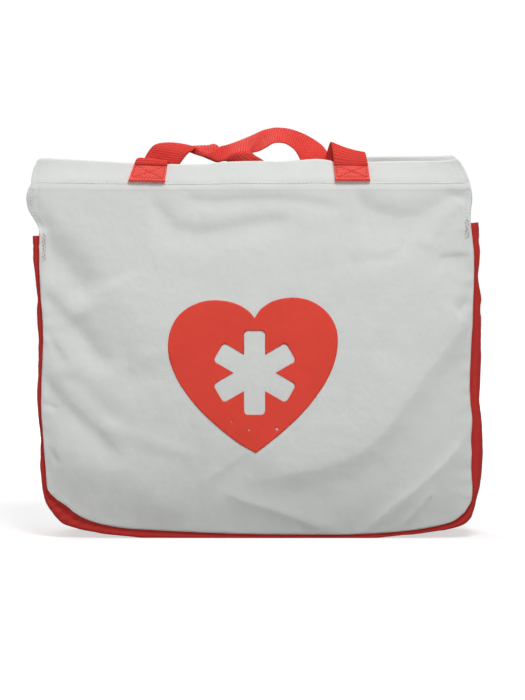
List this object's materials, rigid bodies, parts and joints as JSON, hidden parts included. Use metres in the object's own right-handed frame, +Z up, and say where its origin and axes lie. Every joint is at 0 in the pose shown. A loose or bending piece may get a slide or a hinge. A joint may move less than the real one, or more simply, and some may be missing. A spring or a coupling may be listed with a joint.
{
  "type": "soft toy doctor bag",
  "caption": "Soft cloth play doctor's bag with a boxed red side and base strip, two webbing handles that swing, hemmed open mouth and a printed heart with a bare star",
  "frame": {"origin": "middle of the base, on the surface that the bag stands on", "axes": "+X to the right seen from the front, +Y to the rear, +Z up; the printed front faces -Y"},
  "size_m": [0.311, 0.098, 0.2843],
  "materials": {
    "white_cloth": "plain-woven off-white cloth, slightly creased",
    "red_cloth": "plain-woven red lining cloth, slack and creased",
    "red_print": "thin matt print film that follows the cloth",
    "red_webbing": "25 mm ribbed polypropylene webbing with a slight sheen"
  },
  "bodies": {
    "bag": {"front_panel": "white_cloth", "rear_panel": "white_cloth", "side_and_base_strip": "red_cloth", "heart_print": "red_print", "front_left_tab": "red_webbing", "front_right_tab": "red_webbing", "rear_left_tab": "red_webbing", "rear_right_tab": "red_webbing"},
    "front_handle": {"front_handle": "red_webbing"},
    "rear_handle": {"rear_handle": "red_webbing"}
  },
  "joints": [
    {"name": "front_handle_swing", "type": "hinge", "parent": "bag", "child": "front_handle", "pos_m": [0, -0.02884, 0.26344], "axis": [1, 0, 0], "range_deg": [0, 230]},
    {"name": "rear_handle_swing", "type": "hinge", "parent": "bag", "child": "rear_handle", "pos_m": [0, 0.02884, 0.26344], "axis": [1, 0, 0], "range_deg": [0, 176]}
  ]
}
